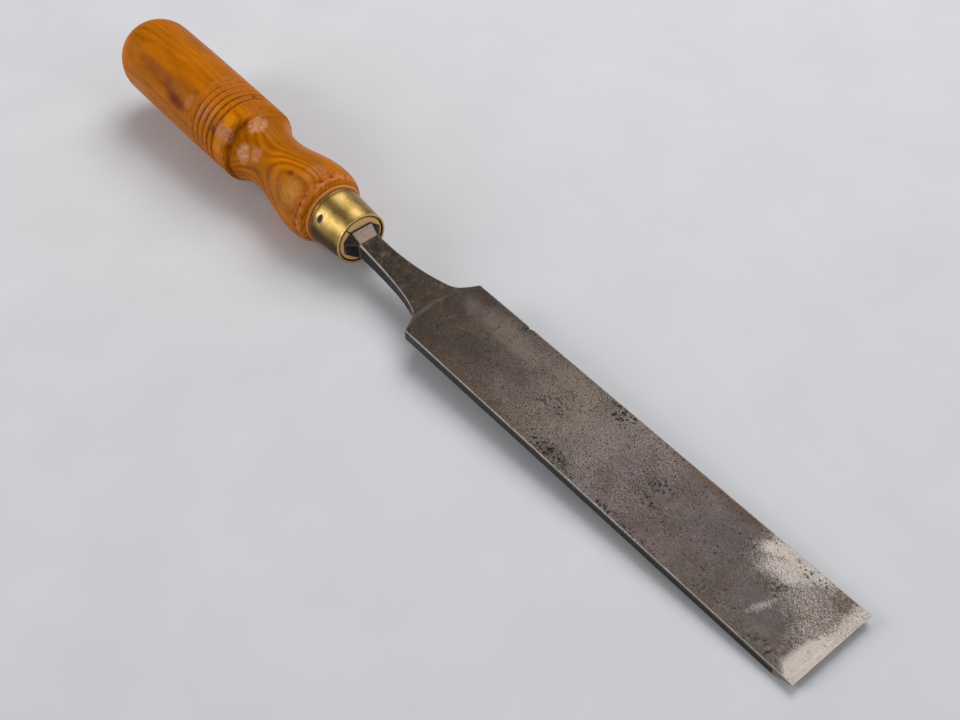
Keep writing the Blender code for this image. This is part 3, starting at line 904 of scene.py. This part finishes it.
def grown_wood(wood, here):
    """Growth rings, hidden where they run level with the surface, with fibres and open pores."""
    colour = wood.ramp(here.year, 0.0, 1.0, [(part, tint(*tone)) for part, tone in YEAR_TONES])
    plain = wood.fade(wood.cloud(here.place, 9.0, detail=3.0), 0.3, 0.62, 0.4, 0.85)
    on_bulb = wood.fade(here.along, BARREL_END, COVE_WAIST, 0.0, 0.45)
    hidden = wood.most(wood.less(plain, on_bulb), wood.fade(here.right, -5.5, 5.0, 0.1, 0.86))
    colour = wood.over(colour, tint(190, 107, 5), hidden)
    broad = wood.cloud(wood.vector("MULTIPLY", here.place, (0.25, 1.0, 1.0)), 7.0, detail=3.0)
    colour = wood.shade(colour, wood.fade(broad, 0.3, 0.72, 0.8, 1.14))
    fibres = wood.effect(STREAKS, Place=here.place, Width=0.22, Stretch=26.0, Level=0.5, Sharp=0.2)
    colour = wood.shade(colour, wood.scaled(fibres, 0.16, 0.9))
    pores = wood.effect(STREAKS, Place=here.place, Width=0.14, Stretch=14.0, Level=0.66, Sharp=0.04)
    early = wood.times(pores, wood.fade(here.year, 0.02, 0.34, 1.0, 0.12))
    return wood.over(colour, tint(104, 48, 3), early, 0.55), early


def shade_in_grooves(wood, here):
    """Painted shade in the barrel's rings, weaker on the right side, in the bead's groove and in the left
    side of the shoulder's groove.
    """
    scored = None
    for ring in range(RING_COUNT):
        strength = 0.5 if ring == 0 else 0.9
        line = line_at(wood, here.along, RING_FIRST + ring * RING_PITCH, 0.15, 0.85, strength)
        scored = line if scored is None else wood.most(scored, line)
    scored = wood.times(scored, wood.fade(here.right, -2.0, 9.0, 0.85, 0.5))
    scored = wood.most(scored, line_at(wood, here.along, BEAD_GROOVE, 0.15, 0.5, 0.5))
    shoulder = line_at(wood, here.along, SHOULDER_GROOVE, 0.6, 1.5, 0.8)
    scored = wood.most(scored, wood.times(shoulder, wood.fade(here.right, -4.5, 0.5, 1.0, 0.0)))
    return wood.times(scored, wood.fade(wood.cloud(here.place, 2.5, detail=3.0), 0.25, 0.6, 0.5, 1.0))


def marks_of_use(wood, here, colour):
    """Dark stains; pale patches on the bruises, partly varnish flaked off and partly painted highlight; pale
    scuffs on the bulb, partly painted highlight too; and two thick amber runs.
    """
    colour = wood.over(colour, tint(104, 40, 26), patches(wood, here.place, WOOD_STAINS, 0.3, 2.6, 0.8))
    amber = patches(wood, here.place, AMBER_RUNS, 0.25, 1.5, 0.15)
    # Pale pink patches: partly flaked varnish, partly painted highlight where the lights reflect.
    bare_and_highlight = wood.times(patches(wood, here.place, FLAKED_AND_HIGHLIGHT_PATCHES, 0.35, 1.5, 0.35), wood.rest_of(amber))
    drawn_out = wood.vector("MULTIPLY", here.place, (0.45, 1.0, 1.0))
    streaky = wood.cloud(drawn_out, 1.0, detail=3.0, roughness=0.6)
    flaked_and_highlight = wood.times(bare_and_highlight, wood.fade(streaky, 0.34, 0.64, 0.3, 0.9))
    colour = wood.over(colour, tint(234, 166, 126), flaked_and_highlight)
    uneven = wood.fade(wood.cloud(here.place, 1.3, detail=4.0), 0.35, 0.65, 0.3, 1.0)
    # Pale scuffs on the bulb: partly scuffed varnish, partly painted highlight.
    scuffed_and_highlight = wood.times(patches(wood, here.place, SCUFFS_AND_HIGHLIGHTS, 0.4, 2.6, 0.9), uneven)
    colour = wood.over(colour, tint(222, 158, 84), scuffed_and_highlight)
    return wood.over(colour, tint(224, 136, 4), amber, 0.95), flaked_and_highlight


def chipped_end(wood, here, colour):
    """The bulb's bruised end: chips with dark broken edges, a scored line, a pale crest and a rubbed bead."""
    torn = wood.scaled(wood.cloud(here.place, 2.4, detail=4.0, roughness=0.55), 8.0, -4.0)
    edge = wood.plus(wood.less(here.along, BULB_END - 2.6), torn)
    before_end = wood.fade(here.along, BULB_END - 0.2, BULB_END + 0.3, 1.0, 0.0)
    chips = wood.times(wood.fade(edge, -0.3, 0.3), before_end)
    chips = wood.times(chips, wood.fade(wood.cloud(here.place, 6.0, detail=2.0), 0.32, 0.46, 0.35, 1.0))
    colour = wood.over(colour, tint(210, 118, 52), chips, 0.75)
    broken = wood.times(wood.fade(wood.size_of(edge), 0.2, 1.0, 1.0, 0.0), chips)
    colour = wood.over(colour, tint(146, 58, 6), broken, 0.6)
    score = line_at(wood, here.along, BULB_END - 1.4, 0.1, 0.4, 0.7)
    score = wood.times(score, wood.fade(here.right, -9.5, -7.5, 1.0, 0.2))
    colour = wood.over(colour, tint(120, 54, 8), score)
    pale = wood.fade(wood.cloud(here.place, 1.8, detail=3.0), 0.42, 0.6)
    crest = wood.times(line_at(wood, here.along, BULB_END - 0.6, 0.3, 1.5), pale)
    colour = wood.over(colour, tint(226, 146, 92), crest, 0.6)
    bead = line_at(wood, here.along, WOOD_STEP - 0.55, 0.2, 0.5)
    return wood.over(colour, tint(230, 156, 100), bead, 0.7)


def bare_nose(wood, here, colour):
    """The nose has no varnish: pale end grain, darker towards its rim, with a dark sunken crack."""
    end_grain = wood.fade(here.along, WOOD_STEP + 0.2, NOSE_END - 2.0)
    colour = wood.over(colour, tint(255, 206, 140), end_grain)
    from_axis = wood.vector("LENGTH", wood.join(0.0, here.right, here.up))
    rim = wood.times(end_grain, wood.fade(from_axis, 8.3, 8.9))
    colour = wood.over(colour, tint(120, 70, 30), rim, 0.8)
    sunk = wood.times(wood.fade(here.along, NOSE_END - 0.75, NOSE_END - 0.15, 1.0, 0.0), end_grain)
    return wood.over(colour, tint(40, 20, 10), sunk), end_grain


def make_varnished_wood():
    material, wood, place, arris = new_finish("varnished_wood", HANDLE_AXIS)
    along, right, up = wood.split(place)
    here = SimpleNamespace(place=place, along=along, right=right, up=up)
    here.year = make_growth_rings(wood, here)
    colour, early = grown_wood(wood, here)
    groove_shade = shade_in_grooves(wood, here)
    # Painted shade darkens the grooves, most on the left side.
    colour = wood.over(colour, tint(108, 50, 3), groove_shade)
    colour, flaked_and_highlight = marks_of_use(wood, here, colour)
    colour = chipped_end(wood, here, colour)
    rubbed = wood.effect(RUBBED, Arris=arris, Place=place, Amount=0.35, Grit=3.0)
    colour = wood.over(colour, tint(222, 130, 54), wood.times(rubbed, wood.scaled(groove_shade, -0.5, 0.5)))
    colour, end_grain = bare_nose(wood, here, colour)

    matt = wood.most(flaked_and_highlight, end_grain)
    crazing = wood.cloud(place, 0.6, detail=3.0)
    rough = wood.scaled(matt, 0.12, wood.scaled(crazing, 0.16, 0.3))
    glaze = wood.scaled(matt, 0.12, 0.06)
    hills = wood.scaled(here.year, 0.02, wood.times(early, -0.04))
    hills = wood.scaled(wood.cloud(place, 2.6, detail=3.0), 0.1, hills)
    hills = wood.scaled(crazing, 0.02, hills)
    wood.dress({"Base Color": colour, "Roughness": rough, "Coat Weight": glaze, "Coat Roughness": 0.34,
                "Specular IOR Level": 0.05, "Specular Tint": (1.0, 0.5, 0.15, 1.0),
                "Normal": relief(wood, hills)})
    return material


make_piece("turned_handle", handle, HANDLE_AXIS, make_varnished_wood(), "handle")

# ================================================================ the ferrule
# A short length of drawn brass tube with a small rolled lip at its open end, pressed on to the handle's
# nose so that the wood can't split. One centre-punch mark near its rear edge pins it to the wood. The
# brass is dull and olive with handling, darker where it meets the wood.

LIP_RADIUS = 10.0
LIP_LENGTH = 0.5
FERRULE_SEGMENTS = 256
PUNCH_AT = -57.0
PUNCH_ANGLE = radians(145)
PUNCH_DEPTH = 0.75


def ferrule_outline():
    """Round the tube's wall: along the outside, over the lip, and back along the bore."""
    rear = WOOD_STEP + FIT_GAP
    lip = FERRULE_FRONT - LIP_LENGTH
    inner = ferrule_radius(FERRULE_FRONT) - FERRULE_WALL
    rear_radius = ferrule_radius(rear)
    lip_radius = ferrule_radius(lip)
    lip_rise = LIP_RADIUS - lip_radius
    turns = [pi * i / 8 for i in range(6)]
    bead = [(lip + LIP_LENGTH / 2 * (1 - cos(angle)), lip_radius + lip_rise * sin(angle)) for angle in turns]
    outside = straight([(rear, rear_radius - 0.12),
                        (rear + 0.12, ferrule_radius(rear + 0.12)),
                        (lip, lip_radius)], 0.24)
    front = [(FERRULE_FRONT, LIP_RADIUS - 0.3), (FERRULE_FRONT, inner + 0.15), (FERRULE_FRONT - 0.12, inner)]
    inside = straight([(FERRULE_FRONT - 0.12, inner),
                       (rear + 0.1, rear_radius - FERRULE_WALL),
                       (rear, rear_radius - FERRULE_WALL + 0.1),
                       (rear, rear_radius - 0.12)], 0.8)
    return outside[:-1] + bead + front[:-1] + inside


ferrule = turn(ferrule_outline(), FERRULE_SEGMENTS)
bmesh.ops.recalc_face_normals(ferrule, faces=ferrule.faces)
mark_arrises(ferrule, radians(14), 0.4)
for vert in ferrule.verts:
    x, y, z = vert.co
    radius = hypot(y, z)
    angle = atan2(z, y)
    if radius > ferrule_radius(x) - 0.3 and x < FERRULE_FRONT - LIP_LENGTH:
        ahead = (x - PUNCH_AT) / 0.75
        aside = (angle - PUNCH_ANGLE) * radius / 1.35
        hollow = PUNCH_DEPTH * exp(-(ahead ** 2 + aside ** 2) ** 1.5)
        raised = 0.1 * exp(-((hypot(ahead, aside) - 1.5) / 0.4) ** 2)
        change = raised - hollow + 0.07 * noise.noise(Vector((x / 4, y / 3, z / 3))) - 0.05
        vert.co.y += change * cos(angle)
        vert.co.z += change * sin(angle)


def tarnish_and_painted_shade(brass, here):
    """Dull olive brass, browner in clouds, darker against the wood, with small spots, and painted shade that
    makes it nearly black on its lower left side.
    """
    colour = brass.over(tint(178, 146, 88), tint(156, 130, 72), brass.fade(here.broad, 0.35, 0.68))
    cloudy = brass.scaled(here.fine, 0.7, brass.times(here.broad, 0.6))
    colour = brass.over(colour, tint(112, 90, 44), brass.fade(cloudy, 0.6, 0.95, 0.0, 0.55))
    # Painted shade: the lower left side of the tube is painted nearly black.
    downward = brass.less(brass.times(here.right, -1.0), brass.times(here.up, 0.6))
    colour = brass.over(colour, tint(48, 36, 16), brass.fade(downward, 6.5, 10.0, 0.0, 0.85))
    colour = brass.over(colour, tint(96, 76, 36), here.collar, 0.88)
    return brass.over(colour, tint(90, 70, 34), here.spots, 0.5)


def punched_mark(brass, here, colour):
    """The punch's dark hollow in the ring that it raised; the ring's pale colour is partly a painted
    highlight.
    """
    punch = (PUNCH_AT, 10.4 * cos(PUNCH_ANGLE), 10.4 * sin(PUNCH_ANGLE))
    square_on = (-PUNCH_ANGLE, 0.0, 0.0)
    # Pale halo round the punch mark: partly rubbed brass, partly a painted highlight.
    halo_and_highlight = brass.effect(PATCH, Place=here.place, Centre=punch, Size=(2.0, 3.0, 3.0), Turn=square_on,
                        Ragged=0.3, Grit=1.2, Soft=0.4)
    colour = brass.over(colour, tint(196, 178, 128), halo_and_highlight, 0.5)
    hole = brass.effect(PATCH, Place=here.place, Centre=punch, Size=(1.0, 3.0, 1.7), Turn=square_on,
                        Ragged=0.12, Grit=0.6, Soft=0.2)
    return brass.over(colour, tint(70, 42, 16), hole, 0.8), hole


def rolled_lip(brass, here, colour):
    """The lip is rubbed bright, with a dark line in the seam behind it and painted shade inside its mouth."""
    seam = FERRULE_FRONT - LIP_LENGTH
    colour = brass.over(colour, tint(226, 180, 104), brass.fade(here.along, seam - 0.25, seam + 0.15), 0.7)
    colour = brass.over(colour, tint(92, 66, 26), line_at(brass, here.along, seam - 0.1, 0.05, 0.3), 0.6)
    from_axis = brass.vector("LENGTH", brass.join(0.0, here.right, here.up))
    front = brass.fade(here.along, FERRULE_FRONT - 0.25, FERRULE_FRONT - 0.1)
    # Painted shade: the front face inside the lip is painted dark.
    painted_mouth_shade = brass.times(front, brass.fade(from_axis, LIP_RADIUS - 0.5, LIP_RADIUS - 0.25, 1.0, 0.0))
    return brass.over(colour, tint(110, 72, 34), painted_mouth_shade, 0.85)


def make_aged_brass():
    material, brass, place, arris = new_finish("aged_brass", HANDLE_AXIS)
    along, right, up = brass.split(place)
    broad = brass.cloud(place, 5.0, detail=3.0)
    fine = brass.cloud(place, 0.7, detail=4.0, roughness=0.6)
    spots = brass.effect(PITTING, Place=place, Cell=1.1, Reach=0.3, Share=0.25)
    wavy = brass.plus(along, brass.times(broad, 1.6))
    collar = brass.fade(wavy, WOOD_STEP + 1.6, WOOD_STEP + 3.6, 1.0, 0.0)
    here = SimpleNamespace(place=place, along=along, right=right, up=up, broad=broad, fine=fine, spots=spots,
                           collar=collar)
    colour, hole = punched_mark(brass, here, tarnish_and_painted_shade(brass, here))
    colour = rolled_lip(brass, here, colour)
    rubbed = brass.effect(RUBBED, Arris=arris, Place=place, Amount=0.4, Grit=2.0)
    colour = brass.over(colour, tint(240, 204, 130), rubbed, 0.6)

    turning = brass.effect(STREAKS, Place=place, Turn=(0.0, 0.0, radians(90)), Width=0.1, Stretch=30.0)
    rough = brass.plus(brass.scaled(fine, 0.2, 0.3), brass.times(collar, 0.12))
    rough = brass.plus(rough, brass.times(hole, 0.3))
    metal = brass.scaled(brass.most(hole, brass.times(collar, 0.3)), -0.6, 1.0)
    hills = brass.scaled(fine, 0.02, brass.times(turning, 0.003))
    hills = brass.scaled(spots, -0.03, hills)
    brass.dress({"Base Color": colour, "Roughness": rough, "Metallic": metal, "Normal": relief(brass, hills)})
    return material


make_piece("brass_ferrule", ferrule, HANDLE_AXIS, make_aged_brass(), "ferrule")

# ================================================================ the bench
# A plain pale studio table, large enough to fill the view, with a faint speckle so that it isn't dead flat.

FLOOR_HALF = 3.0

table = bmesh.new()
bmesh.ops.create_grid(table, x_segments=1, y_segments=1, size=FLOOR_HALF)
table_mesh = bpy.data.meshes.new("studio_table")
table.to_mesh(table_mesh)
table.free()
floor = bpy.data.objects.new("studio_table", table_mesh)
bpy.context.scene.collection.objects.link(floor)
card, paint, card_place, _ = new_finish("pale_card", Matrix.Scale(MM, 4))
speckle = paint.cloud(card_place, 40.0, detail=3.0)
card_colour = paint.ramp(speckle, 0.0, 1.0, [(0.3, tint(216, 216, 218)), (0.7, tint(222, 222, 224))])
paint.dress({"Base Color": card_colour, "Roughness": paint.fade(speckle, 0.3, 0.7, 0.7, 0.8)})
table_mesh.materials.append(card)

# ================================================================ light and camera
# Four soft boxes: the largest stands high beyond the tool's right side, a smaller one to the left of the
# handle, and two faint ones, one high and one low, fill the front. The camera looks down over the edge.

AIM = Vector((0.03315, 0.0006, 0.0))


def soft_box(name, azimuth, elevation, distance, size, power):
    """A square soft light, azimuth 0 at +X and turning towards +Y, aimed at the tool."""
    turn_to, lift = radians(azimuth), radians(elevation)
    away = Vector((cos(turn_to) * cos(lift), sin(turn_to) * cos(lift), sin(lift)))
    light = bpy.data.lights.new(name, "AREA")
    light.shape = "SQUARE"
    light.size = size
    light.energy = power
    item = bpy.data.objects.new(name, light)
    item.location = AIM + away * distance
    item.rotation_euler = away.to_track_quat("Z", "Y").to_euler()
    bpy.context.scene.collection.objects.link(item)


soft_box("key_box", 118, 54, 1.1, 0.75, 7.0)
soft_box("left_box", 229, 27, 1.1, 0.5, 4.2)
soft_box("front_box", 34, 58, 1.3, 0.6, 1.6)
soft_box("low_box", 8, 20, 1.0, 0.4, 1.3)

world = bpy.data.worlds.new("studio")
world.use_nodes = True
world.node_tree.nodes["Background"].inputs["Color"].default_value = (0.9, 0.93, 1.0, 1.0)
world.node_tree.nodes["Background"].inputs["Strength"].default_value = 0.2
bpy.context.scene.world = world
bpy.context.scene.view_settings.view_transform = "Standard"

VIEW_AZIMUTH = radians(53.07)
VIEW_ELEVATION = radians(45.63)
VIEW_ROLL = radians(-3.73)
VIEW_DISTANCE = 0.4202
VIEW_LENS = 48.3
looking = Vector((-sin(VIEW_AZIMUTH) * cos(VIEW_ELEVATION),
                  cos(VIEW_AZIMUTH) * cos(VIEW_ELEVATION),
                  -sin(VIEW_ELEVATION)))
camera_data = bpy.data.cameras.new("camera")
camera_data.lens = VIEW_LENS
camera_data.sensor_width = 36.0
camera_data.clip_start = 0.01
camera = bpy.data.objects.new("camera", camera_data)
facing = looking.to_track_quat("-Z", "Y").to_matrix() @ Matrix.Rotation(VIEW_ROLL, 3, "Z")
camera.matrix_world = Matrix.Translation(AIM - looking * VIEW_DISTANCE) @ facing.to_4x4()
bpy.context.scene.collection.objects.link(camera)
bpy.context.scene.camera = camera
